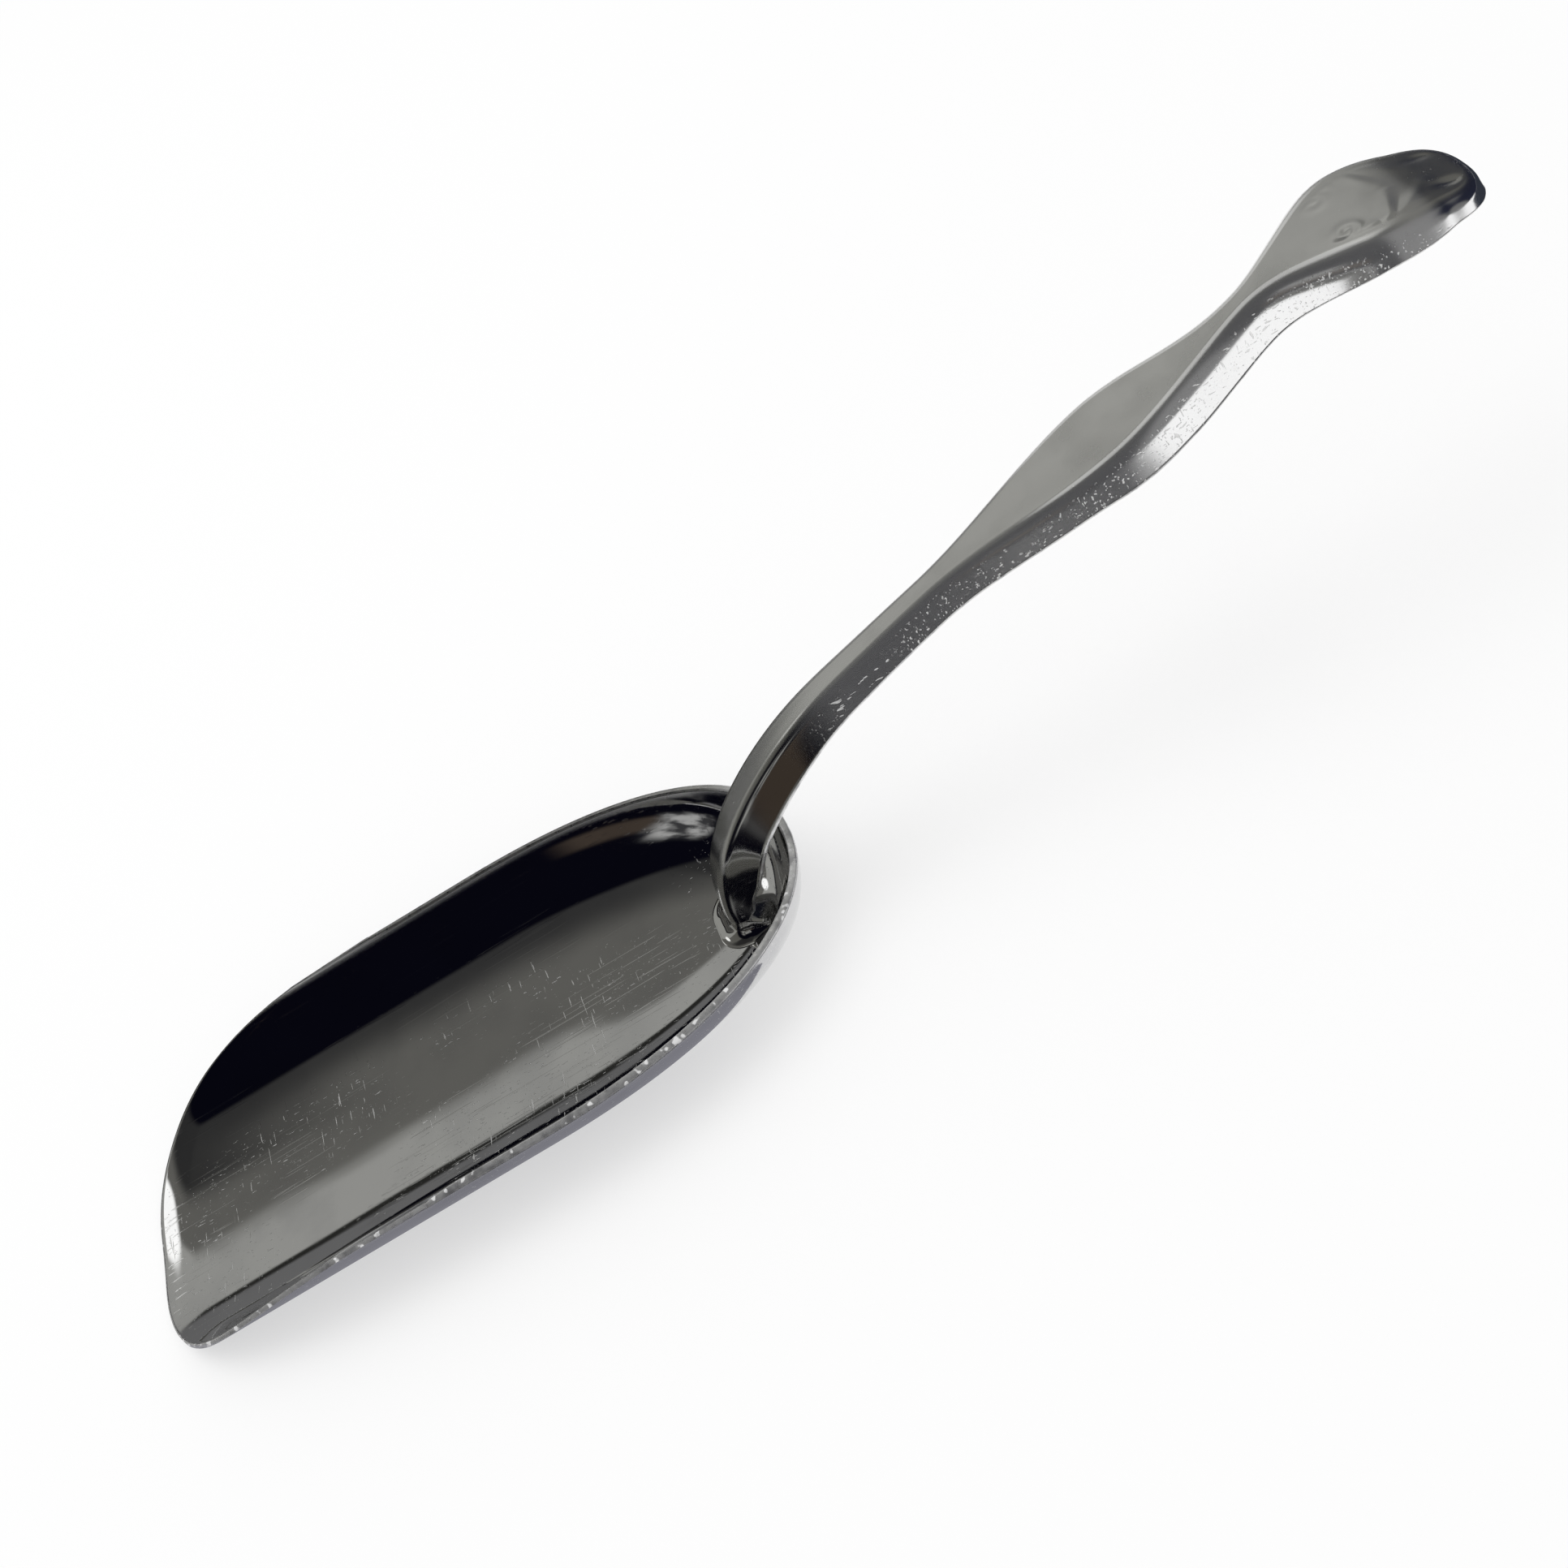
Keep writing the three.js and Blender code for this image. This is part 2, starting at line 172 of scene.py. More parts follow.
def makeBowlPolish():
    look = bowlPolish
    material, tree, surface, where = newFinish("mirror_polished_steel")
    smudged = blotches(tree, where, **look["smudges"])
    hair, cross, slant, fleck, dots = (scratches(tree, where, **look[kind])
                                       for kind in ("hair", "cross", "slant", "fleck", "dots"))
    marks = maths(tree, "MAXIMUM", cross, slant, fleck, maths(tree, "MULTIPLY", dots, look["dotShare"]))
    farther = spread(tree, towardsFar(tree, where), *look["farFade"], 1.0, look["farShare"])
    marks = maths(tree, "MULTIPLY", marks, farther)
    marks = maths(tree, "MAXIMUM", marks, maths(tree, "MULTIPLY", hair, look["hairShare"]))
    clean = blendColour(tree, smudged, look["colour"], look["smudge"])
    plug(surface, "Base Color", blendColour(tree, marks, clean, look["bright"]))
    rim = mark(tree, "rimWorn")
    plug(surface, "Roughness", maths(tree, "ADD",
                                     spread(tree, smudged, 0, 1, look["roughness"], look["smudgeRoughness"]),
                                     maths(tree, "MULTIPLY", rim, look["rimRoughness"]),
                                     maths(tree, "MULTIPLY", marks, look["scratchRoughness"])))
    plug(surface, "Metallic", maths(tree, "MINIMUM",
                                    spread(tree, marks, look["nickFrom"], 1, 1, look["nickMetal"]),
                                    spread(tree, rim, 0, 1, 1, look["rimMetal"])))
    wave = bump(tree, noise(tree, where, look["waveSize"], 1), look["waveHeight"])
    plug(surface, "Normal", bump(tree, marks, look["scratchDepth"], over=wave, cutIn=True))
    return material


handlePolish = {
    "colour": (0.80, 0.80, 0.785, 1), "smudge": (0.74, 0.74, 0.725, 1), "bright": (0.95, 0.95, 0.94, 1),
    # The flank colour is a painted highlight: brighter steel on the flanks than on the top
    # The neck colour is painted shade: darker steel on the neck by the foot
    "flankHighlightColour": (0.96, 0.96, 0.96, 1), "neckShadeColour": (0.60, 0.60, 0.585, 1),
    "smudges": {"size": 140, "detail": 4, "low": 0.40, "high": 0.70},
    "scuffs": {"size": (3400, 3400, 3400), "turn": 0, "cut": 0.66, "patchSize": 110, "patchCut": 0.46},
    "dashes": {"size": (3600, 3600, 500), "turn": 25, "cut": 0.65, "patchSize": 150, "patchCut": 0.45},
    "slant": {"size": (700, 3600, 3600), "turn": -30, "cut": 0.66, "patchSize": 130, "patchCut": 0.45},
    "specks": {"size": (2400, 2400, 2400), "turn": 0, "cut": 0.73, "patchSize": 90, "patchCut": 0.52},
    "speckShare": 0.4,
    "topRoughness": 0.24, "flankRoughness": 0.20, "neckRoughness": 0.10,
    "smudgeRoughness": 0.04, "scuffRoughness": 0.25,
    "scuffFrom": 0.2, "scuffMetal": 0.45, "wornMetal": 0.91, "rubSheenMetal": 0.5,
    "waveSize": 160, "waveHeight": 0.000015, "grain": (90, 3200, 3200), "grainDepth": 0.000003,
    "scuffDepth": 0.00002,
}


def makeHandlePolish():
    look = handlePolish
    material, tree, surface, where = newFinish("satin_topped_steel")
    top, wear = mark(tree, "topFace"), mark(tree, "worn")
    smudged = blotches(tree, where, **look["smudges"])
    scuffs, dashes, slant, specks = (scratches(tree, where, **look[kind])
                                     for kind in ("scuffs", "dashes", "slant", "specks"))
    marks = maths(tree, "MULTIPLY", maths(tree, "MAXIMUM", scuffs, dashes, slant), mark(tree, "scuffed"))
    marks = maths(tree, "MAXIMUM", marks, maths(tree, "MULTIPLY", specks, look["speckShare"]))
    clean = blendColour(tree, smudged, look["colour"], look["smudge"])
    # Painted highlight: the flanks take a brighter steel colour than the top, so the white floor mirrored in
    # them shows near white
    clean = blendColour(tree, top, look["flankHighlightColour"], clean)
    # Painted shade: the steel is darker on the neck, from the foot up to where the neck ends
    clean = blendColour(tree, mark(tree, "pastNeck"), look["neckShadeColour"], clean)
    plug(surface, "Base Color", blendColour(tree, marks, clean, look["bright"]))
    flank = spread(tree, wear, 0, 1, look["neckRoughness"], look["flankRoughness"])
    plug(surface, "Roughness", maths(tree, "ADD", spread(tree, top, 0, 1, flank, look["topRoughness"]),
                                     maths(tree, "MULTIPLY", smudged, look["smudgeRoughness"]),
                                     maths(tree, "MULTIPLY", marks, look["scuffRoughness"])))
    plug(surface, "Metallic", maths(tree, "MINIMUM", spread(tree, wear, 0, 1, 1, look["wornMetal"]),
                                    # Along the crease the steel is less metallic so the lamp lights it as a
                                    # light line: partly rubbed wear, partly a painted highlight
                                    spread(tree, mark(tree, "rubSheen"), 0, 1, 1, look["rubSheenMetal"]),
                                    spread(tree, marks, look["scuffFrom"], 1, 1, look["scuffMetal"])))
    wave = bump(tree, noise(tree, where, look["waveSize"]), look["waveHeight"])
    grain = noise(tree, stretched(tree, where, look["grain"]))
    lines = bump(tree, grain, look["grainDepth"], over=wave, strength=top)
    plug(surface, "Normal", bump(tree, marks, look["scuffDepth"], over=lines, cutIn=True))
    return material


cutEdge = {
    "colour": (0.86, 0.86, 0.86, 1), "dark": (0.50, 0.50, 0.51, 1),
    "pits": {"size": 420, "detail": 2, "low": 0.5, "high": 0.75},
    "sparks": {"size": 900, "detail": 1, "low": 0.62, "high": 0.7},
    "metal": 0.82, "sparkMetal": 0.25, "farFade": (0.004, 0.014),
    "grainSize": 1500, "grainLevels": (0.3, 0.7), "grainDepth": 0.00004,
    "roughness": 0.22, "grainRoughness": 0.5,
}


def makeCutEdge():
    look = cutEdge
    material, tree, surface, where = newFinish("ground_cut_edge")
    pits = blotches(tree, where, **look["pits"])
    plug(surface, "Base Color", blendColour(tree, pits, look["colour"], look["dark"]))
    sparks = blotches(tree, where, **look["sparks"], toLow=look["metal"], toHigh=look["sparkMetal"])
    farther = spread(tree, towardsFar(tree, where), *look["farFade"])  # plain metal on the far side
    plug(surface, "Metallic", maths(tree, "MAXIMUM", sparks, farther))
    grain = noise(tree, where, look["grainSize"])
    plug(surface, "Roughness",
         spread(tree, grain, *look["grainLevels"], look["roughness"], look["grainRoughness"]))
    plug(surface, "Normal", bump(tree, grain, look["grainDepth"]))
    return material


weldPolish = {
    "colour": (0.66, 0.66, 0.65, 1), "heat": (0.50, 0.49, 0.46, 1),
    "stains": {"size": 260, "detail": 3, "low": 0.42, "high": 0.7},
    "roughness": 0.06, "pitRoughness": 0.13, "rippleSize": 500, "rippleHeight": 0.00002,
}


def makeWeldPolish():
    look = weldPolish
    material, tree, surface, where = newFinish("polished_weld")
    stain = blotches(tree, where, **look["stains"])
    plug(surface, "Base Color", blendColour(tree, stain, look["colour"], look["heat"]))
    plug(surface, "Roughness", spread(tree, stain, 0, 1, look["roughness"], look["pitRoughness"]))
    plug(surface, "Normal", bump(tree, noise(tree, where, look["rippleSize"], 1), look["rippleHeight"]))
    return material


bowlSteel = makeBowlPolish()
handleSteel = makeHandlePolish()
edgeSteel = makeCutEdge()
weldSteel = makeWeldPolish()
print("finishes made")


# Meshes

def addMesh(name, points, faces, finishes, finishOfFace):
    mesh = bpy.data.meshes.new(name)
    mesh.from_pydata([tuple(p) for p in np.asarray(points) * millimetre], [], faces)
    for material in finishes:
        mesh.materials.append(material)
    mesh.polygons.foreach_set("material_index", finishOfFace)
    mesh.polygons.foreach_set("use_smooth", [True] * len(faces))
    mesh.update()
    piece = bpy.data.objects.new(name, mesh)
    bpy.context.scene.collection.objects.link(piece)
    return piece


# A sheet from a grid of mid points and normals. Column 0 is its open end; in the last column both sides
# meet. The cut edge is rounded over and takes the second finish.
def pressSheet(name, middle, normal, upper, sideRows, finishes, marks):
    columns, rows = middle.shape[:2]
    last, lastRow = columns - 1, rows - 1
    border = [(0, k) for k in range(rows)]
    border += [(i, lastRow) for i in range(1, columns)]
    border += [(i, 0) for i in range(last - 1, 0, -1)]

    # Outward direction in the sheet and the edge's round, along the cut edge only
    outward, roundOff = np.zeros_like(middle), np.zeros((columns, rows))
    loop, facing = (np.array([grid[place] for place in border]) for grid in (middle, normal))
    away = unit(np.cross(facing, np.roll(loop, -1, axis=0) - np.roll(loop, 1, axis=0)))
    for (i, k), way in zip(border, away):
        inner = middle[min(max(i, 1), last), min(max(k, 1), lastRow - 1)]
        gap = abs(np.dot(middle[i, k] - inner, way))
        outward[i, k], roundOff[i, k] = way, min(sheet["edgeRound"], sheet["gapShare"] * gap)
    outward[last, 0], roundOff[last, 0] = outward[last, lastRow], roundOff[last, lastRow]
    ground = middle - outward * roundOff[..., None]

    points, faces, finishOfFace, index = [], [], [], {}
    values = {key: [] for key in marks}

    def vertex(i, k, side, turn=0.0):
        if i == last:
            k = min(k, lastRow - k, sideRows)
        key = (i, k, side, turn)
        if key not in index:
            index[key] = len(points)
            height = (upper[i, k] if side > 0 else halfSheet) - roundOff[i, k] * (1 - math.cos(turn))
            reach = roundOff[i, k] * math.sin(turn)
            points.append(ground[i, k] + outward[i, k] * reach + normal[i, k] * side * height)
            for kind in marks:
                values[kind].append(marks[kind][i, k])
        return index[key]

    def addFace(corners, finish):
        kept = list(dict.fromkeys(corners))
        if len(kept) > 2:
            faces.append(kept)
            finishOfFace.append(finish)

    for i in range(last):
        for k in range(lastRow):
            ring = [(i, k), (i + 1, k), (i + 1, k + 1), (i, k + 1)]
            addFace([vertex(*place, 1) for place in ring], 0)
            addFace([vertex(*place, -1) for place in reversed(ring)], 0)

    turns = [math.pi / 2 * step / sheet["roundSteps"] for step in range(sheet["roundSteps"] + 1)]
    profile = [(1, turn) for turn in turns] + [(-1, turn) for turn in reversed(turns)]
    for one, two in zip(border, border[1:] + border[:1]):
        for low, high in zip(profile, profile[1:]):
            addFace([vertex(*one, *low), vertex(*one, *high), vertex(*two, *high), vertex(*two, *low)], 1)

    piece = addMesh(name, points, faces, finishes, finishOfFace)
    for key, strengths in values.items():
        made = piece.data.attributes.new(key, "FLOAT", "POINT")
        made.data.foreach_set("value", np.asarray(strengths, np.float32))
    return piece


def settle(piece, node):
    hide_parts(node)
    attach(piece, "root")


# Bowl: a trough with a flat floor, open at the mouth and rounded at the back
bowl = {
    "lipX": -40.0, "length": 92.1, "halfWidth": 22.04, "depth": 9.0, "floorHalfWidth": 3.0,
    "cornerLength": 38.9, "straightLength": 53.0, "backWallRun": 11.0,
    "wallPower": 3.0, "wallReach": 0.93, "cornerPower": 2.55, "backPower": 2.25,
    "lipThinning": 0.42, "lipTaper": 4.5,
    "dish": 0.2, "dishRise": 11.0, "dishFall": 20.0, "dishEnd": (15.0, 32.0),
    "wave": 0.004, "waveLengths": (27.0, 11.0), "waveStart": 1.3, "wornRows": 3,
    "wallRows": 56, "floorRows": 8, "straightColumns": 80, "backColumns": 80, "mouthSpacing": 1.15,
}
bowlEnd = bowl["lipX"] + bowl["length"]
backStart = bowl["lipX"] + bowl["straightLength"]
backReach = bowlEnd - backStart
floorReach = backReach - bowl["backWallRun"]
wallRun = bowl["halfWidth"] - bowl["floorHalfWidth"]


# Share of the depth climbed at a share of the way from floor to rim; the wall stops short of upright
def wallRise(out):
    power, reach = bowl["wallPower"], bowl["wallReach"]
    return (1 - (1 - (reach * out) ** power) ** (1 / power)) / (1 - (1 - reach ** power) ** (1 / power))


# Height of the bowl's mid sheet over points of its back half, found by halving
def bowlHeight(x, y, halvings=26):
    low, high = np.zeros(np.shape(x)), np.ones(np.shape(x))
    for _ in range(halvings):
        out = (low + high) / 2
        shareX = np.maximum(0, x - backStart) / (floorReach + bowl["backWallRun"] * out)
        shareY = np.abs(y) / (bowl["floorHalfWidth"] + wallRun * out)
        outside = shareX ** bowl["backPower"] + shareY ** bowl["backPower"] > 1
        low, high = np.where(outside, out, low), np.where(outside, high, out)
    return halfSheet + bowl["depth"] * wallRise(high)


def bowlSlope(x, y, step=0.05):
    slopeX = (bowlHeight(x + step, y) - bowlHeight(x - step, y)) / (2 * step)
    slopeY = (bowlHeight(x, y + step) - bowlHeight(x, y - step)) / (2 * step)
    return np.sqrt(1 + slopeX ** 2 + slopeY ** 2)


def makeBowl():
    rows, floorRows = bowl["wallRows"], bowl["floorRows"]
    fineSteps, nudge = 2000, 0.001
    fine = np.linspace(0, 1, fineSteps)  # the wall is measured finely, then cut into even rows
    piecesUp = np.hypot(np.diff(fine) * wallRun, np.diff(wallRise(fine)) * bowl["depth"])
    length = np.concatenate([[0], np.cumsum(piecesUp)])
    upWall = np.linspace(0, 1, rows + 1)
    out = np.interp(upWall, length / length[-1], fine)
    rise = wallRise(out)
    climb = bowl["depth"] * (wallRise(out + nudge) - wallRise(np.maximum(out - nudge, 0))) / (2 * nudge)
    power = bowl["cornerPower"]
    setBack = bowl["cornerLength"] * (1 - (1 - upWall ** power) ** (1 / power))

    # Rows run from the near rim over the floor to the far rim
    step = np.concatenate([np.arange(rows, 0, -1), np.zeros(floorRows + 1, int), np.arange(1, rows + 1)])
    across = np.concatenate([-np.ones(rows), np.linspace(-1, 1, floorRows + 1), np.ones(rows)])
    side = np.sign(across)

    # The inner face is dished a little, though the floor stands flat
    fromMiddle = np.abs(across) * bowl["floorHalfWidth"] + wallRun * out[step]
    dish = easeThrough([(0, 0), (bowl["dishRise"], bowl["dish"]), (bowl["dishFall"], 0)], fromMiddle)

    count = bowl["straightColumns"] + bowl["backColumns"]
    middle = np.zeros((count + 1, len(step), 3))
    normal = np.zeros_like(middle)
    upper = np.zeros(middle.shape[:2])
    for n in range(count + 1):
        along = min(1, n / bowl["straightColumns"]) ** bowl["mouthSpacing"]
        turn = max(0, n - bowl["straightColumns"]) / bowl["backColumns"] * math.pi / 2
        sweepX = math.sin(turn) ** (2 / bowl["backPower"])
        sweepY = 0 if n == count else math.cos(turn) ** (2 / bowl["backPower"])
        inner = np.array([floorReach * sweepX, bowl["floorHalfWidth"] * sweepY])
        away = np.array([backReach * sweepX, bowl["halfWidth"] * sweepY]) - inner
        reach = np.linalg.norm(away)
        away /= reach
        startX = bowl["lipX"] + setBack
        x = startX + (backStart - startX) * along + inner[0] + away[0] * reach * out
        y = inner[1] + away[1] * reach * out
        tilt = np.arctan2(climb, reach)
        middle[n, :, 0] = x[step]
        middle[n, :, 1] = y[step] * across
        middle[n, :, 2] = halfSheet + bowl["depth"] * rise[step]
        normal[n, :, 0] = -away[0] * np.sin(tilt[step])
        normal[n, :, 1] = -side * away[1] * np.sin(tilt[step])
        normal[n, :, 2] = np.cos(tilt[step])
        fromMouth = (x - startX)[step]
        toLip = np.clip(1 - fromMouth / bowl["lipTaper"], 0, 1)
        dishEnd = smoothStep((bowl["dishEnd"][1] - x[step]) / (bowl["dishEnd"][1] - bowl["dishEnd"][0]))
        long, short = (2 * np.pi / wave for wave in bowl["waveLengths"])
        wave = np.sin(x[step] * long + bowl["waveStart"])
        wave = wave * np.sin(y[step] * across * short + x[step] * long / 2)
        upper[n] = halfSheet + dish * dishEnd + bowl["wave"] * wave - bowl["lipThinning"] * toLip ** 2
    rimWorn = smoothStep((step - rows + bowl["wornRows"]) / bowl["wornRows"])
    marks = {"rimWorn": np.repeat(rimWorn[None], count + 1, axis=0)}
    piece = pressSheet("bowl_shell", middle, normal, upper, rows, [bowlSteel, edgeSteel], marks)
    settle(piece, "bowl")
    return piece


bowlPiece = makeBowl()
print("bowl made:", len(bowlPiece.data.polygons), "faces")


# Handle: an inverted channel that stands on the bowl's floor and runs up and back to a lobed tip.
# Runs are taken from the foot's front, rises from the top of the bowl's floor; each key is a run and a value.
handle = {
    "footInset": 0.1,
    "line": [(0, 0.12), (0.5, 4.2), (2.3, 8.8), (5.6, 13), (11, 17.5), (19, 22), (31, 25.8), (62, 33.7),
             (75, 36.6), (86, 40.12), (95.5, 41.19), (106.1, 39.0)],
    "halfWidths": [(0, 2.2), (38, 1.25), (62, 5.15), (80.5, 1.6), (95.5, 7.55)],
    "creaseRadii": [(0, 1.5), (14, 1.2), (38, 0.9), (62, 1.4), (80.5, 1.6), (95.5, 2.4)],
    "flankDepths": [(0, 1.4), (0.5, 3.1), (2.3, 3.9), (7, 3.3), (38, 2.85), (55, 3.0), (72, 4.6), (80.5, 4.6),
                    (95.5, 2.7), (106.1, 1.7)],
    "flankLeans": [(0, 0.35), (6, 0.8), (14, 0.7), (24, 0.5), (60, 0.45), (70, 0.12), (80.5, 0.04), (87, 0.1),
                   (95.5, 0.5)],
    "outlineRadius": 0.65, "creaseMargin": 0.35, "bendShare": 0.8,
    "lobeRun": 95.5, "tipRun": 106.1, "tipPower": 2.5, "tipRadius": 1.2, "tipBlend": 5.0,
    "crown": 0.05, "crownHalf": 5.0, "clearance": 0.05, "clearPast": 8.0, "clearStep": 0.05,
    "footLength": 4.2, "footColumns": 12, "shaftColumns": 260, "shaftSpacing": 1.5, "tipColumns": 110,
    "flankRows": 7, "arcRows": 12, "webRows": 72,
    "satinTurns": (0.25, 0.85), "scuffTurns": (0.7, 1.1), "neckScuffs": 0.04,
    "brightNeck": (14, 26), "brightTip": (98.5, 101.5),
    # A light line just past the crease: partly rubbed wear, partly a painted highlight
    "rubSheenRuns": [(45, 0), (58, 1), (88, 1), (97, 0.3)], "rubSheenTurn": 0.2, "rubSheenWidth": 0.17,
}
ornament = {  # a rib has its start, end, width and strength
    "height": 0.2, "edgeFade": 1.0, "tipFade": 2.0, "farWear": 0.55, "farWearHalf": 1.0,
    "ribs": [((95.0, 7.6), (97.8, 0.8), 0.75, 1.0), ((95.3, 7.5), (101.4, 1.8), 1.0, 0.8),
             ((92.6, 4.8), (95.6, 4.9), 0.7, 0.7), ((95.6, 4.9), (97.6, 2.4), 0.7, 0.6)],
    "ribFade": 0.7, "ribFadeFrom": 0.5,
    "scroll": (92.0, 3.5), "scrollInner": 0.2, "scrollOuter": 1.75, "scrollRidge": 0.6, "scrollHeight": 0.8,
    "scrollLaps": 1.4, "scrollEnd": 0.15,
    "hollow": (103.4, 3.1), "hollowReach": (1.3, 0.7), "hollowDepth": 0.7,
}
floorTop = sheet["thickness"]
footX = bowlEnd - bowl["backWallRun"] - handle["footInset"]


# A smooth line through the points, with its length measured along it
def smoothLine(points, steps=160):
    points = np.asarray(points, float)
    points = np.vstack([2 * points[0] - points[1], points, 2 * points[-1] - points[-2]])
    parts = []
    for p0, p1, p2, p3 in zip(points, points[1:], points[2:], points[3:]):
        d0, d1, d2 = (np.linalg.norm(b - a) ** 0.5 for a, b in ((p0, p1), (p1, p2), (p2, p3)))
        leave = ((p1 - p0) / d0 - (p2 - p0) / (d0 + d1) + (p2 - p1) / d1) * d1
        arrive = ((p2 - p1) / d1 - (p3 - p1) / (d1 + d2) + (p3 - p2) / d2) * d1
        t = np.linspace(0, 1, steps, endpoint=False)[:, None]
        parts.append(p1 + leave * t + (3 * (p2 - p1) - 2 * leave - arrive) * t ** 2
                     + (2 * (p1 - p2) + leave + arrive) * t ** 3)
    line = np.vstack(parts + [points[-2:-1]])
    length = np.concatenate([[0], np.cumsum(np.linalg.norm(np.diff(line, axis=0), axis=1))])
    return line, length


def ridge(distance, width):
    return np.exp(-(distance / width) ** 2)


# The pressed ornament, the same at each side but worn at the far one: ribs that meet in a point, a scroll
# and a hollow
def reliefAt(run, y, webHalf):
    side = np.abs(y)
    relief = np.zeros(side.shape)
    for start, end, width, strength in ornament["ribs"]:
        way = np.subtract(end, start)
        share = ((run - start[0]) * way[0] + (side - start[1]) * way[1]) / np.dot(way, way)
        held = np.clip(share, 0, 1)
        away = np.hypot(run - start[0] - held * way[0], side - start[1] - held * way[1])
        fading = smoothStep((share - ornament["ribFadeFrom"]) / (1 - ornament["ribFadeFrom"]))
        relief = np.maximum(relief, strength * ridge(away, width) * (1 - ornament["ribFade"] * fading))
    awayRun, awaySide = run - ornament["scroll"][0], side - ornament["scroll"][1]
    reach, turn = np.hypot(awayRun, awaySide), np.arctan2(-awaySide, -awayRun) / (2 * np.pi) + 0.5
    growth = (ornament["scrollOuter"] - ornament["scrollInner"]) / ornament["scrollLaps"]
    for lap in (0, 1):
        onLine = ridge(reach - ornament["scrollInner"] - growth * (turn + lap), ornament["scrollRidge"])
        ending = smoothStep((ornament["scrollLaps"] - turn - lap) / ornament["scrollEnd"])
        relief = np.maximum(relief, onLine * ornament["scrollHeight"] * ending)
    offRun = (run - ornament["hollow"][0]) / ornament["hollowReach"][0]
    offSide = (side - ornament["hollow"][1]) / ornament["hollowReach"][1]
    fade = smoothStep((webHalf - side) / ornament["edgeFade"])
    fade = fade * smoothStep((handle["tipRun"] - run) / ornament["tipFade"])
    farther = smoothStep((y + ornament["farWearHalf"]) / (2 * ornament["farWearHalf"]))
    fade = fade * (1 - ornament["farWear"] * farther)
    return ornament["height"] * fade * (relief - ornament["hollowDepth"] * ridge(np.hypot(offRun, offSide), 1))


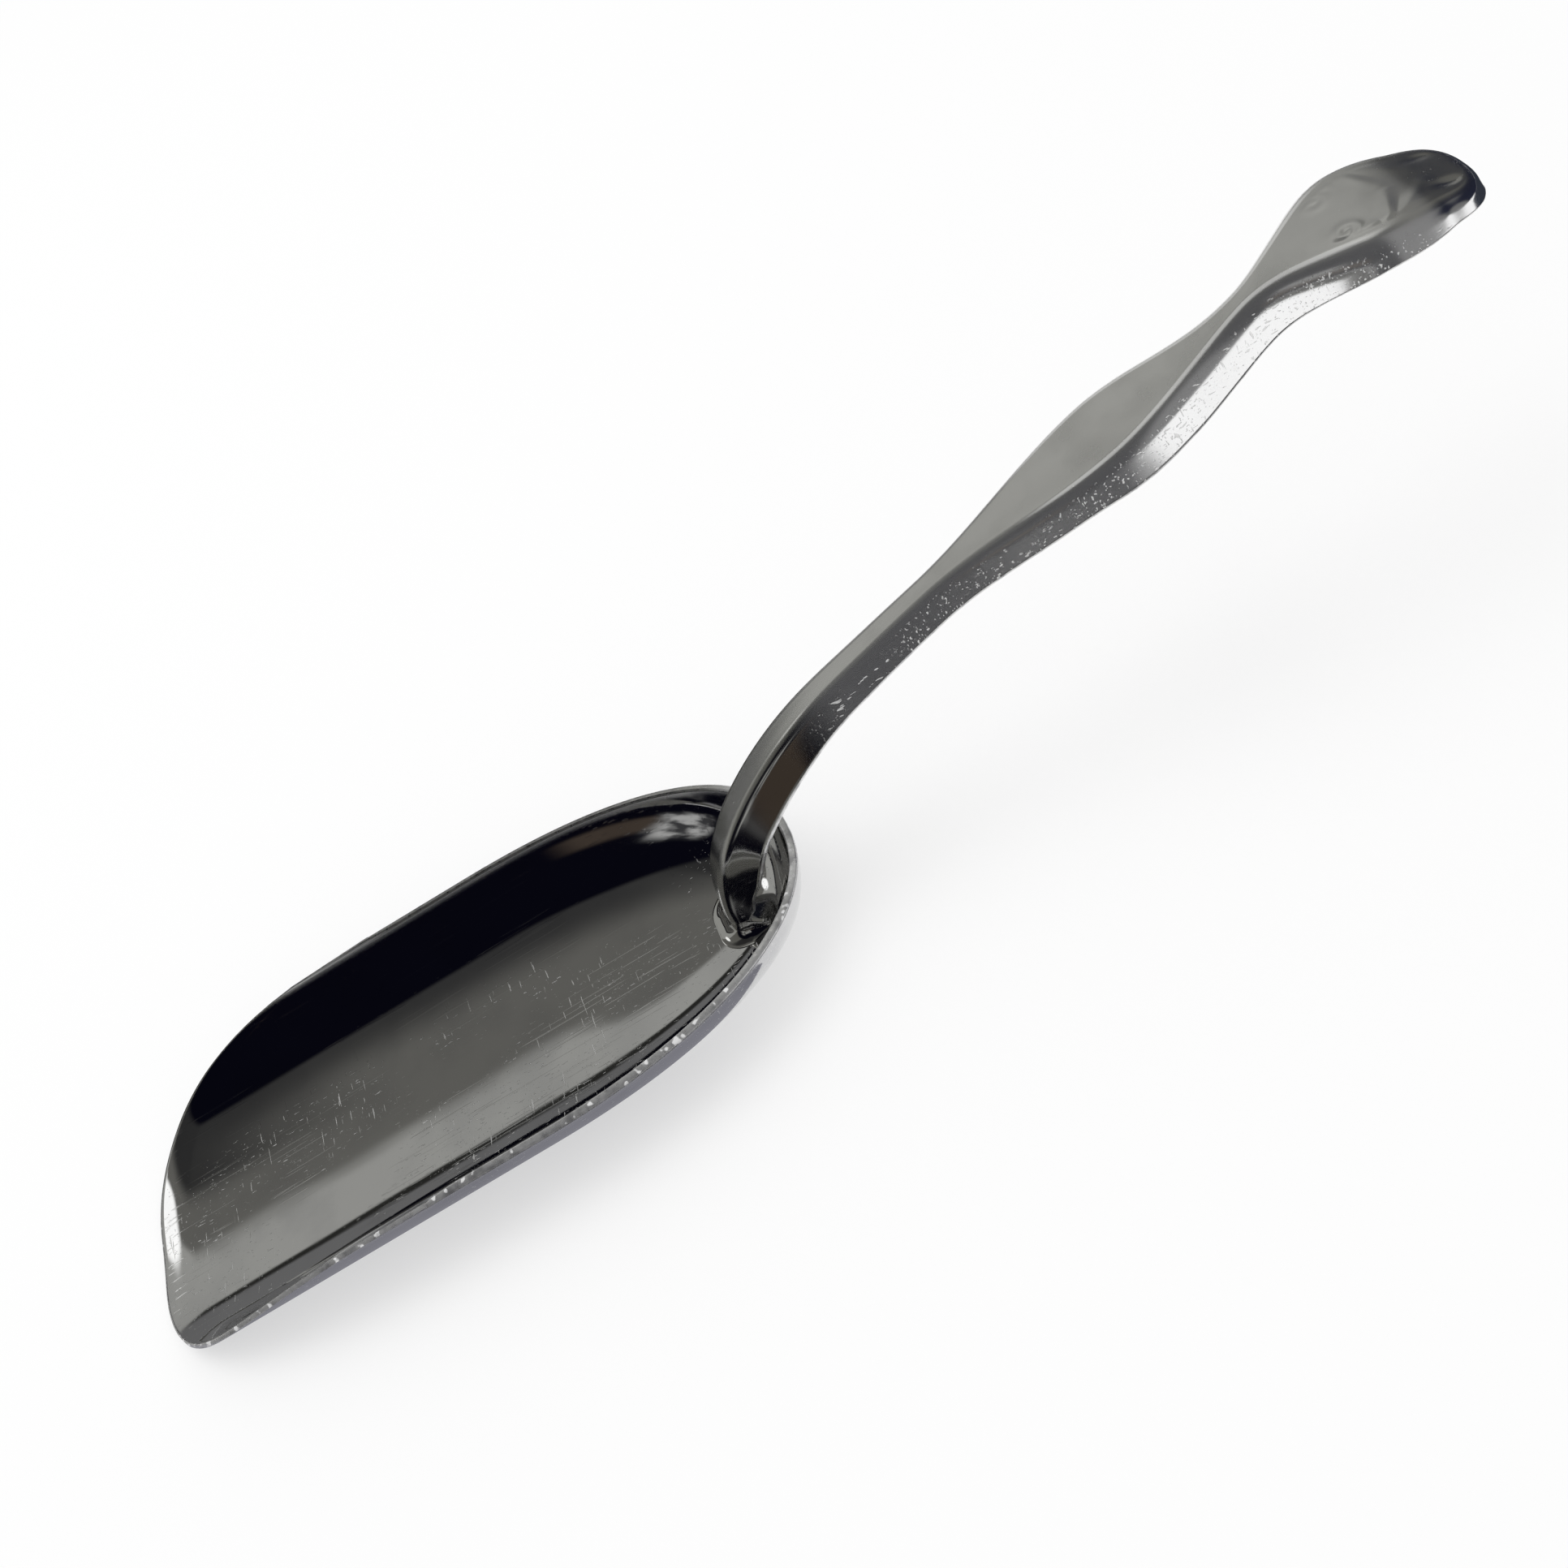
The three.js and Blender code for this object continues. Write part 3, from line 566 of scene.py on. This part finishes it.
def makeHandle():
    line, length = smoothLine(handle["line"])
    total, footLength = length[-1], handle["footLength"]
    lobeLength = np.interp(handle["lobeRun"], line[:, 0], length)

    # Stations along the outline: close at the foot, then even, then round the tip
    foot = footLength * np.arange(handle["footColumns"]) / handle["footColumns"]
    shaft = np.arange(handle["shaftColumns"]) / handle["shaftColumns"]
    shaft = footLength + (lobeLength - footLength) * (1 - (1 - shaft) ** handle["shaftSpacing"])
    roundTip = np.arange(handle["tipColumns"] + 1) / handle["tipColumns"] * np.pi / 2
    tip = lobeLength + (total - lobeLength) * np.sin(roundTip) ** (2 / handle["tipPower"])
    at = np.concatenate([foot, shaft, tip])
    run = np.interp(at, length, line[:, 0])
    half = easeThrough(handle["halfWidths"], run)
    narrowing = np.clip(np.cos(roundTip), 0, 1) ** (2 / handle["tipPower"])
    narrowing[-1] = 0
    half[-len(tip):] = handle["halfWidths"][-1][1] * narrowing
    count = len(at)

    rise = np.interp(at, length, line[:, 1])
    nudge = 0.02
    ahead, behind = np.minimum(at + nudge, total), np.maximum(at - nudge, 0)
    along = np.stack([np.interp(ahead, length, line[:, 0]) - np.interp(behind, length, line[:, 0]),
                      np.zeros(count),
                      np.interp(ahead, length, line[:, 1]) - np.interp(behind, length, line[:, 1])], axis=1)
    along = unit(along)
    up = np.stack([-along[:, 2], np.zeros(count), along[:, 0]], axis=1)
    centre = np.stack([footX + run, np.zeros(count), floorTop + rise], axis=1)

    # Outline's outward direction in the plane of the top: along the line and across it
    before, after = np.maximum(np.arange(count) - 1, 0), np.minimum(np.arange(count) + 1, count - 1)
    outward = unit(np.stack([half[before] - half[after], at[after] - at[before]], axis=1))
    outward[0], outward[-1] = (0, 1), (1, 0)

    radius = easeThrough(handle["creaseRadii"], run)
    fromTip = handle["tipRun"] - run
    radius = handle["tipRadius"] + (radius - handle["tipRadius"]) * smoothStep(fromTip / handle["tipBlend"])
    widest = half + handle["outlineRadius"] - handle["creaseMargin"]
    radius = np.where(run < handle["lobeRun"], np.minimum(radius, widest), radius)
    lean = easeThrough(handle["flankLeans"], run)
    wanted = easeThrough(handle["flankDepths"], run)
    shift = (handle["outlineRadius"] - radius)[:, None] * outward

    rows = handle["arcRows"] + handle["flankRows"]
    columnRows = 2 * rows + handle["webRows"] + 1
    middle, normal = np.zeros((count, columnRows, 3)), np.zeros((count, columnRows, 3))
    topFace, scuffed = np.zeros((count, columnRows)), np.zeros((count, columnRows))
    neckEnd, wornFrom = handle["brightNeck"]
    tipFrom, tipTo = handle["brightTip"]
    satinFrom, satinTo = handle["satinTurns"]
    scuffFrom, scuffTo = handle["scuffTurns"]
    pastNeck = smoothStep((run - neckEnd) / (wornFrom - neckEnd))
    wear = pastNeck * (1 - smoothStep((run - tipFrom) / (tipTo - tipFrom)))
    worn, pastNeck = (np.repeat(share[:, None], columnRows, axis=1) for share in (wear, pastNeck))
    rubSheen = np.zeros((count, columnRows))

    for n in range(count):
        edge = centre[n] + along[n] * shift[n, 0]
        webHalf = max(0.0, half[n] + shift[n, 1])

        def flank(out, drop, turn, side):
            away = along[n] * outward[n, 0] + np.array([0, side * outward[n, 1], 0])
            point = edge + away * out[..., None] - up[n] * drop[..., None]
            point[..., 1] += side * webHalf
            return point, up[n] * np.cos(turn)[..., None] + away * np.sin(turn)[..., None]

        # The turned-down edge stops just short of the bowl
        depth = wanted[n]
        if centre[n, 0] < bowlEnd + handle["clearPast"]:
            tries = np.arange(2 * handle["clearStep"], wanted[n], handle["clearStep"])
            tried, _ = flank(radius[n] + lean[n] * tries, tries, tries * 0, 1)
            overRim = tried[:, 2] - bowl["depth"] - halfSheet
            inside = np.maximum(overRim, (tried[:, 2] - bowlHeight(tried[:, 0], tried[:, 1]))
                                / bowlSlope(tried[:, 0], tried[:, 1]))
            outside = np.maximum(overRim, tried[:, 0] - bowlEnd)
            stand = np.where(tried[:, 0] > bowlEnd, outside, inside)
            near = np.nonzero(stand < halfSheet + handle["clearance"])[0]
            depth = tries[max(0, near[0] - 1)] if len(near) else wanted[n]

        bend = min(radius[n], handle["bendShare"] * depth)
        fullTurn = math.pi / 2 - math.atan(lean[n])
        arcTurn = np.arange(1, handle["arcRows"] + 1) / handle["arcRows"] * fullTurn
        arcDrop = bend * (1 - math.cos(fullTurn))
        share = np.arange(1, handle["flankRows"] + 1) / handle["flankRows"]
        drop = np.concatenate([bend * (1 - np.cos(arcTurn)), arcDrop + (depth - arcDrop) * share])
        out = np.concatenate([bend * np.sin(arcTurn),
                              bend * math.sin(fullTurn) + (depth - arcDrop) * share * lean[n]])
        turn = np.concatenate([arcTurn, np.full(handle["flankRows"], fullTurn)])
        for side, place in ((-1, slice(rows - 1, None, -1)), (1, slice(columnRows - rows, None))):
            points, normals = flank(out, drop, turn, side)
            middle[n, place], normal[n, place] = points, normals
            topFace[n, place] = 1 - smoothStep((turn - satinFrom) / (satinTo - satinFrom))
            scuffed[n, place] = smoothStep((turn - scuffFrom) / (scuffTo - scuffFrom))
            # Light line just past the crease, partly rubbed wear and partly a painted highlight
            rubSheen[n, place] = ridge(turn - handle["rubSheenTurn"], handle["rubSheenWidth"]) * wear[n]
            rubSheen[n, place] *= float(easeThrough(handle["rubSheenRuns"], run[n]))
        across = np.linspace(-1, 1, handle["webRows"] + 1) * webHalf
        web = np.repeat(edge[None], len(across), axis=0)
        web[:, 1] = across
        arch = (1 - np.linspace(-1, 1, len(across)) ** 2) ** 2
        arch = handle["crown"] * min(1, webHalf / handle["crownHalf"]) * arch
        web += up[n] * (arch + reliefAt(web[:, 0] - footX, across, webHalf))[:, None]
        middle[n, rows:columnRows - rows] = web
        normal[n, rows:columnRows - rows] = up[n]
        topFace[n, rows:columnRows - rows] = 1

    upper = np.full(middle.shape[:2], halfSheet)
    scuffed = scuffed * (handle["neckScuffs"] + (1 - handle["neckScuffs"]) * worn)
    marks = {"topFace": topFace, "scuffed": scuffed, "worn": worn, "rubSheen": rubSheen, "pastNeck": pastNeck}
    piece = pressSheet("handle_channel", middle, normal, upper, rows, [handleSteel, edgeSteel], marks)
    settle(piece, "handle")
    return piece


handlePiece = makeHandle()
print("handle made:", len(handlePiece.data.polygons), "faces")


# Weld: a hollow-faced fillet in a U round the foot, from the bowl's floor up to the handle
weld = {
    "leg": 2.0, "endLeg": 0.7, "bury": 0.5, "run": 3.2, "frontLean": 0.11, "taper": 2.6,
    "sideSteps": 50, "turnSteps": 24, "faceSteps": 16,
}


def makeWeld():
    crease, lean = handle["creaseRadii"][0][1], math.atan(handle["flankLeans"][0][1])
    centreX, centreY = footX + crease, handle["halfWidths"][0][1] + handle["outlineRadius"] - crease
    radius, lastTurn = crease + halfSheet, math.pi / 2 - lean
    path = []
    for n in range(weld["sideSteps"]):
        back = weld["run"] * (1 - n / weld["sideSteps"])
        path.append((centreX - radius * math.cos(lastTurn) + back * math.cos(lean),
                     centreY + radius * math.sin(lastTurn) + back * math.sin(lean), lastTurn, back))
    for n in range(weld["turnSteps"] + 1):
        turn = lastTurn * (1 - n / weld["turnSteps"])
        path.append((centreX - radius * math.cos(turn), centreY + radius * math.sin(turn), turn, 0.0))
    path += [(x, -y, -turn, back) for x, y, turn, back in reversed(path)]

    curve = np.arange(weld["faceSteps"] + 1) / weld["faceSteps"] * math.pi / 2
    face = list(zip(1 - np.sin(curve), 1 - np.cos(curve)))
    points, faces = [], []
    for x, y, turn, back in path:
        grown = smoothStep((weld["run"] - back) / weld["taper"])
        leg = weld["endLeg"] + (weld["leg"] - weld["endLeg"]) * grown
        shape = [(out * leg, rise * leg) for out, rise in face]
        shape += [(-weld["bury"], leg), (-weld["bury"], -weld["bury"]), (leg, -weld["bury"])]  # sunk from sight
        for out, rise in shape:
            px, py = x - math.cos(turn) * out, y + math.sin(turn) * out
            top = float(bowlHeight(px, py) + halfSheet * bowlSlope(px, py))
            points.append((px + weld["frontLean"] * rise * math.cos(turn), py, top + rise))
    count = len(points) // len(path)
    for n in range(len(path) - 1):
        for k in range(count):
            a, b = n * count + k, n * count + (k + 1) % count
            faces.append((a, a + count, b + count, b))
    end = (len(path) - 1) * count
    faces.append(tuple(range(count)))
    faces.append(tuple(end + k for k in reversed(range(count))))
    piece = addMesh("weld_bead", points, faces, [weldSteel], [0] * len(faces))
    onFace = [n % count < weld["faceSteps"] for n in range(len(faces) - 2)] + [False, False]
    piece.data.polygons.foreach_set("use_smooth", onFace)
    settle(piece, "weld_fillet")
    return piece


weldPiece = makeWeld()
print("weld made:", len(weldPiece.data.polygons), "faces")


# Studio: a pale floor, a tent and cards that only the steel mirrors, one soft lamp and the camera
studio = {
    "floorColour": (0.45, 0.45, 0.45, 1), "floorRoughness": 0.9, "floorGlow": 0.52,
    "floorSize": 12.0, "floorDrop": 0.00002, "airLevel": 0.88,
}


def addStage(name, points, faces, material, mirrorOnly=False):
    mesh = bpy.data.meshes.new(name)
    mesh.from_pydata(points, [], faces)
    mesh.materials.append(material)
    made = bpy.data.objects.new(name, mesh)
    bpy.context.scene.collection.objects.link(made)
    if mirrorOnly:
        made.visible_camera = made.visible_diffuse = made.visible_shadow = False


def layFlat(name, nearLeft, farRight, z, material, mirrorOnly=False):
    (left, near), (right, far) = nearLeft, farRight
    corners = [(left, near, z), (right, near, z), (right, far, z), (left, far, z)]
    addStage(name, corners, [(0, 1, 2, 3)], material, mirrorOnly)


# A material that only glows, for what is there to be mirrored
def newGlow(name):
    material = bpy.data.materials.new(name)
    material.use_nodes = True
    tree = material.node_tree
    tree.nodes.remove(tree.nodes["Principled BSDF"])
    glow = addNode(tree, "ShaderNodeEmission", {"Strength": 1.0})
    plug(tree.nodes["Material Output"], "Surface", glow.outputs[0])
    return material, tree, glow


# 1 for rays from the camera and for mirrored or refracted ones, 0 for the rest
def seenRays(tree):
    path = addNode(tree, "ShaderNodeLightPath").outputs
    return maths(tree, "MAXIMUM", path["Is Camera Ray"], path["Is Glossy Ray"], path["Is Transmission Ray"])


def makeFloor():
    material = bpy.data.materials.new("pale_floor")
    material.use_nodes = True
    tree = material.node_tree
    surface = tree.nodes["Principled BSDF"]
    surface.inputs["Base Color"].default_value = studio["floorColour"]
    surface.inputs["Roughness"].default_value = studio["floorRoughness"]
    surface.inputs["Specular IOR Level"].default_value = 0.0
    surface.inputs["Emission Color"].default_value = (1, 1, 1, 1)
    plug(surface, "Emission Strength", maths(tree, "MULTIPLY", seenRays(tree), studio["floorGlow"]))
    half = studio["floorSize"] / 2
    layFlat("studio_floor", (-half, -half), (half, half), -studio["floorDrop"], material)


# The tent's greys go by direction from the scoop: x to its handle, y to its far side, z up. Climb and across
# are z and x over y. A fade goes from nothing at its first value to full at its second.
tent = {
    "radius": 3.0, "rings": 12, "turns": 48, "closing": 0.98, "leastAhead": 0.03,
    "ceiling": (0.135, 0.133, 0.122, 1), "overhead": (0.036, 0.036, 0.036, 1), "ceilingZ": (0.98, 0.77),
    "band": (0.022, 0.022, 0.020, 1), "bandClimb": (0.72, 0.52),
    "low": (0.15, 0.15, 0.15, 1), "lowClimb": (0.44, 0.38),
    "behind": (0.0025, 0.0025, 0.006, 1), "behindY": (0.05, -0.05),
    "side": (0.15, 0.15, 0.15, 1), "sideX": (0.05, 0.25),
    "lamp": (1.3, 1.3, 1.28, 1), "lampWay": (-0.58, 0.595, 0.555), "lampEdge": (0.9945, 0.9975),
}
strip = {  # a light panel low on the far side
    "colour": (0.36, 0.36, 0.34), "shade": (0.59, 1.14), "shadeClimb": (0.2, 1.7), "shadeAcross": (-0.1, 0.1),
    "bottom": 0.52, "bottomFade": (-0.02, 0.02), "dip": 0.28, "dipFrom": -0.36,
    "topFade": (0.935, 0.885), "rightFade": (0.68, 0.56), "wideFrom": -0.12, "lift": 7.0, "drop": 4.0,
}
patches = {  # each a colour and its bounds; where it has two sets of bounds, the stronger holds
    "right": ((0.015, 0.017, 0.03, 1), [{"x": [(0.5, 0.58)], "z": [(0.44, 0.36)]}, {"x": [(0.66, 0.76)]}]),
    "corner": ((0.03, 0.03, 0.03, 1), [{"x": [(-0.3, -0.42)], "z": [(0.66, 0.74)]}]),
    "warm": ((0.060, 0.046, 0.036, 1), [{"x": [(-0.36, -0.48)], "y": [(-0.58, -0.68)],
                                         "z": [(0.16, 0.24), (0.48, 0.38)]}]),
    "handleEnd": ((0.015, 0.017, 0.03, 1), [{"x": [(0.78, 0.86)], "y": [(-0.46, -0.34)]}]),
    "window": ((0.42, 0.42, 0.41, 1), [{"x": [(-0.54, -0.66)], "y": [(-0.26, -0.36), (-0.68, -0.56)],
                                        "z": [(0.12, 0.22), (0.68, 0.54)]}]),
}
windowClouds = {"size": 6, "detail": 3, "low": 0.38, "high": 0.60, "toLow": 0.1}


# The strip reaches lower at the far left, and opens up and down to the right
def stripShare(tree, climb, across):
    dip = maths(tree, "MINIMUM", maths(tree, "SUBTRACT", across, strip["dipFrom"]), 0.0)
    toRight = maths(tree, "MAXIMUM", maths(tree, "SUBTRACT", across, strip["wideFrom"]), 0.0)
    bottom = maths(tree, "ADD", maths(tree, "MULTIPLY", dip, strip["dip"]), strip["bottom"])
    bottom = maths(tree, "SUBTRACT", bottom, maths(tree, "MULTIPLY", toRight, strip["drop"]))
    underTop = maths(tree, "SUBTRACT", climb, maths(tree, "MULTIPLY", toRight, strip["lift"]))
    return maths(tree, "MULTIPLY", spread(tree, maths(tree, "SUBTRACT", climb, bottom), *strip["bottomFade"]),
                 spread(tree, underTop, *strip["topFade"]), spread(tree, across, *strip["rightFade"]))


def makeTentCloth():
    material, tree, glow = newGlow("tent_cloth")
    place = addNode(tree, "ShaderNodeTexCoord").outputs["Object"]
    way = addNode(tree, "ShaderNodeVectorMath", {0: place}, operation="NORMALIZE").outputs[0]
    x, y, z = addNode(tree, "ShaderNodeSeparateXYZ", {0: way}).outputs
    ahead = maths(tree, "MAXIMUM", y, tent["leastAhead"])
    climb, across = maths(tree, "DIVIDE", z, ahead), maths(tree, "DIVIDE", x, ahead)

    def patchShare(name):
        shares = []
        for bounds in patches[name][1]:
            fades = [spread(tree, axis, *fade) for key, axis in (("x", x), ("y", y), ("z", z))
                     for fade in bounds.get(key, [])]
            shares.append(maths(tree, "MULTIPLY", *fades))
        return maths(tree, "MAXIMUM", *shares)

    colour = blendColour(tree, spread(tree, z, *tent["ceilingZ"]), tent["overhead"], tent["ceiling"])
    colour = blendColour(tree, spread(tree, climb, *tent["bandClimb"]), colour, tent["band"])
    colour = blendColour(tree, spread(tree, climb, *tent["lowClimb"]), colour, tent["low"])

    shade = spread(tree, climb, *strip["shadeClimb"], *strip["shade"])
    shaded = spread(tree, across, *strip["shadeAcross"])
    shade = addNode(tree, "ShaderNodeMix", {0: shaded, 2: 1.0, 3: shade}).outputs[0]
    lit = addNode(tree, "ShaderNodeVectorMath", {0: strip["colour"], "Scale": shade}, operation="SCALE")
    colour = blendColour(tree, stripShare(tree, climb, across), colour, lit.outputs[0])

    for name in ("right", "corner"):
        colour = blendColour(tree, patchShare(name), colour, patches[name][0])
    behind = blendColour(tree, spread(tree, x, *tent["sideX"]), tent["behind"], tent["side"])
    colour = blendColour(tree, spread(tree, y, *tent["behindY"]), colour, behind)
    for name in ("warm", "handleEnd"):
        colour = blendColour(tree, patchShare(name), colour, patches[name][0])
    window = maths(tree, "MULTIPLY", patchShare("window"), blotches(tree, way, **windowClouds))
    colour = blendColour(tree, window, colour, patches["window"][0])

    toLamp = addNode(tree, "ShaderNodeVectorMath", {0: way, 1: Vector(tent["lampWay"]).normalized()},
                     operation="DOT_PRODUCT").outputs["Value"]
    plug(glow, "Color", blendColour(tree, spread(tree, toLamp, *tent["lampEdge"]), colour, tent["lamp"]))
    return material


def makeTent():
    rings, turns, radius = tent["rings"], tent["turns"], tent["radius"]
    points = [(radius * math.cos(a) * math.cos(b), radius * math.cos(a) * math.sin(b), radius * math.sin(a))
              for a in np.linspace(0, math.pi / 2 * tent["closing"], rings + 1)
              for b in np.arange(turns) / turns * 2 * math.pi]

    def corner(r, t):
        return r * turns + t % turns

    faces = [(corner(r, t), corner(r + 1, t), corner(r + 1, t + 1), corner(r, t + 1))
             for r in range(rings) for t in range(turns)]
    faces.append(tuple(range(rings * turns, (rings + 1) * turns)))
    addStage("studio_tent", points, faces, makeTentCloth(), mirrorOnly=True)


# Grey cards on the floor: name, colour, near left corner and far right corner
cardHeight = 0.0004
cards = [
    ("far_card", (0.07, 0.07, 0.065, 1), (-0.6, 0.026), (0.05, 0.8)),
    ("near_card", (0.07, 0.07, 0.065, 1), (-0.8, -1.0), (0.07, -0.036)),
    ("under_card", (0.24, 0.24, 0.27, 1), (-0.06, -0.035), (0.045, -0.014)),
    ("mouth_card", (0.16, 0.16, 0.16, 1), (-0.06, -0.014), (-0.0405, 0.026)),
    ("front_card", (0.16, 0.16, 0.16, 1), (-0.6, -0.036), (-0.06, 0.026)),
    ("tip_card", (0.03, 0.034, 0.045, 1), (0.19, -0.09), (2.5, 1.0)),
]


def makeCards():
    for name, colour, nearLeft, farRight in cards:
        material, tree, glow = newGlow(name)
        glow.inputs["Color"].default_value = colour
        layFlat(name, nearLeft, farRight, cardHeight, material, mirrorOnly=True)


softLamp = {"place": (-0.2, 0.25, 1.0), "target": (0.05, 0, 0), "size": 0.9, "power": 2.4}


# The lamp lights the floor and the scuffs; the steel mirrors the tent instead
def makeLamp():
    data = bpy.data.lights.new("top_softbox", "AREA")
    data.shape, data.size, data.energy = "SQUARE", softLamp["size"], softLamp["power"]
    lamp = bpy.data.objects.new("top_softbox", data)
    lamp.location = softLamp["place"]
    lamp.rotation_mode = "QUATERNION"
    lamp.rotation_quaternion = (Vector(softLamp["target"]) - Vector(softLamp["place"])).to_track_quat("-Z", "Y")
    lamp.visible_glossy = False
    bpy.context.scene.collection.objects.link(lamp)


# White to the camera and to mirrored rays, a plain level of light to all else
def makeWorld():
    world = bpy.data.worlds.new("studio_air")
    world.use_nodes = True
    tree = world.node_tree
    bpy.context.scene.world = world
    air = tree.nodes["Background"]
    air.inputs["Color"].default_value = (1, 1, 1, 1)
    level = addNode(tree, "ShaderNodeMapRange", {0: seenRays(tree), 3: studio["airLevel"], 4: 1.0})
    plug(air, "Strength", level.outputs[0])


photoCamera = {
    "sensor": 36.0, "lens": 47.91, "clip": (0.01, 50.0), "place": (0.07324, -0.17548, 0.16949),
    "turn": (0.8815486, 0.3874221, 0.1444493, -0.2278389),
}


def makeCamera():
    data = bpy.data.cameras.new("photo_camera")
    data.sensor_width, data.lens = photoCamera["sensor"], photoCamera["lens"]
    data.clip_start, data.clip_end = photoCamera["clip"]
    camera = bpy.data.objects.new("photo_camera", data)
    camera.location = photoCamera["place"]
    camera.rotation_mode = "QUATERNION"
    camera.rotation_quaternion = Quaternion(photoCamera["turn"])
    bpy.context.scene.collection.objects.link(camera)
    bpy.context.scene.camera = camera


makeFloor()
makeTent()
makeCards()
makeLamp()
makeWorld()
makeCamera()
bpy.context.scene.view_settings.view_transform = "Standard"
print("studio made")
